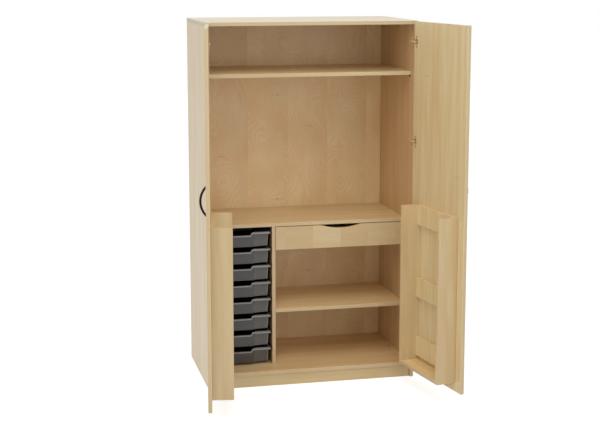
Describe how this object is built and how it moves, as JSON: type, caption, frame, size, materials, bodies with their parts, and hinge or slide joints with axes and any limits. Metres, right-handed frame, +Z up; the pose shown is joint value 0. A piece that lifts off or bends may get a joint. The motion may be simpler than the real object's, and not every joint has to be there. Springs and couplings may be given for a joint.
{
  "type": "storage cupboard",
  "caption": "Tall maple school cupboard with rack doors, an upper shelf, a fixed middle shelf, pull-out trays, a drawer and a lower shelf.",
  "frame": {"origin": "centre of the floor area that the cupboard takes with both doors open as in the picture", "axes": "+Z up, -Y out of the front, +X to the right for someone who faces the cupboard"},
  "size_m": [1.2632, 1.1213, 1.8],
  "materials": {
    "black_handle": "satin black",
    "drawer_maple": "satin lacquered maple veneer",
    "hinge_steel": "satin nickel plate",
    "maple": "satin lacquered maple veneer",
    "runner_plastic": "matt moulded plastic",
    "slide_steel": "powder coated sheet steel",
    "tray_plastic": "satin moulded plastic"
  },
  "bodies": {
    "carcass": {"back_panel": "maple", "divider_panel": "maple", "drawer_slide_left": "slide_steel", "drawer_slide_right": "slide_steel", "floor_panel": "maple", "left_hinge_arm_1": "hinge_steel", "left_hinge_arm_2": "hinge_steel", "left_hinge_arm_3": "hinge_steel", "left_hinge_arm_4": "hinge_steel", "lower_shelf": "maple", "mid_shelf": "maple", "plinth_front": "maple", "plinth_rear": "maple", "right_hinge_arm_1": "hinge_steel", "right_hinge_arm_2": "hinge_steel", "right_hinge_arm_3": "hinge_steel", "right_hinge_arm_4": "hinge_steel", "side_panel_left": "maple", "side_panel_right": "maple", "top_panel": "maple", "tray_runners_left": "runner_plastic", "tray_runners_right": "runner_plastic", "upper_shelf": "maple"},
    "left_door_leaf": {"left_door": "maple", "left_door_handle": "black_handle", "left_hinge_cup_1": "hinge_steel", "left_hinge_cup_2": "hinge_steel", "left_hinge_cup_3": "hinge_steel", "left_hinge_cup_4": "hinge_steel", "left_rack_bottom": "maple", "left_rack_free_side": "maple", "left_rack_hinge_side": "maple", "left_rack_rail_low": "maple", "left_rack_rail_middle": "maple", "left_rack_rail_top": "maple"},
    "right_door_leaf": {"right_door": "maple", "right_door_handle": "black_handle", "right_hinge_cup_1": "hinge_steel", "right_hinge_cup_2": "hinge_steel", "right_hinge_cup_3": "hinge_steel", "right_hinge_cup_4": "hinge_steel", "right_rack_bottom": "maple", "right_rack_free_side": "maple", "right_rack_hinge_side": "maple", "right_rack_rail_low": "maple", "right_rack_rail_middle": "maple", "right_rack_rail_top": "maple"},
    "drawer": {"drawer_back": "drawer_maple", "drawer_bottom": "drawer_maple", "drawer_front": "drawer_maple", "drawer_side_left": "drawer_maple", "drawer_side_right": "drawer_maple"},
    "tray_1_body": {"tray_1": "tray_plastic"},
    "tray_2_body": {"tray_2": "tray_plastic"},
    "tray_3_body": {"tray_3": "tray_plastic"},
    "tray_4_body": {"tray_4": "tray_plastic"},
    "tray_5_body": {"tray_5": "tray_plastic"},
    "tray_6_body": {"tray_6": "tray_plastic"},
    "tray_7_body": {"tray_7": "tray_plastic"},
    "tray_8_body": {"tray_8": "tray_plastic"}
  },
  "joints": [
    {"name": "left_door_hinge", "type": "hinge", "parent": "carcass", "child": "left_door_leaf", "pos_m": [-0.5165, -0.05129, 0.9], "axis": [0, 0, -1], "range_deg": [-99.5, 10]},
    {"name": "right_door_hinge", "type": "hinge", "parent": "carcass", "child": "right_door_leaf", "pos_m": [0.5165, -0.05129, 0.9], "axis": [0, 0, 1], "range_deg": [-99.5, 10]},
    {"name": "drawer_slide", "type": "slide", "parent": "carcass", "child": "drawer", "axis": [0, -1, 0], "range_m": [0, 0.17]},
    {"name": "tray_1_slide", "type": "slide", "parent": "carcass", "child": "tray_1_body", "axis": [0, -1, 0], "range_m": [0, 0.17]},
    {"name": "tray_2_slide", "type": "slide", "parent": "carcass", "child": "tray_2_body", "axis": [0, -1, 0], "range_m": [0, 0.17]},
    {"name": "tray_3_slide", "type": "slide", "parent": "carcass", "child": "tray_3_body", "axis": [0, -1, 0], "range_m": [0, 0.17]},
    {"name": "tray_4_slide", "type": "slide", "parent": "carcass", "child": "tray_4_body", "axis": [0, -1, 0], "range_m": [0, 0.17]},
    {"name": "tray_5_slide", "type": "slide", "parent": "carcass", "child": "tray_5_body", "axis": [0, -1, 0], "range_m": [0, 0.17]},
    {"name": "tray_6_slide", "type": "slide", "parent": "carcass", "child": "tray_6_body", "axis": [0, -1, 0], "range_m": [0, 0.17]},
    {"name": "tray_7_slide", "type": "slide", "parent": "carcass", "child": "tray_7_body", "axis": [0, -1, 0], "range_m": [0, 0.17]},
    {"name": "tray_8_slide", "type": "slide", "parent": "carcass", "child": "tray_8_body", "axis": [0, -1, 0], "range_m": [0, 0.17]}
  ]
}
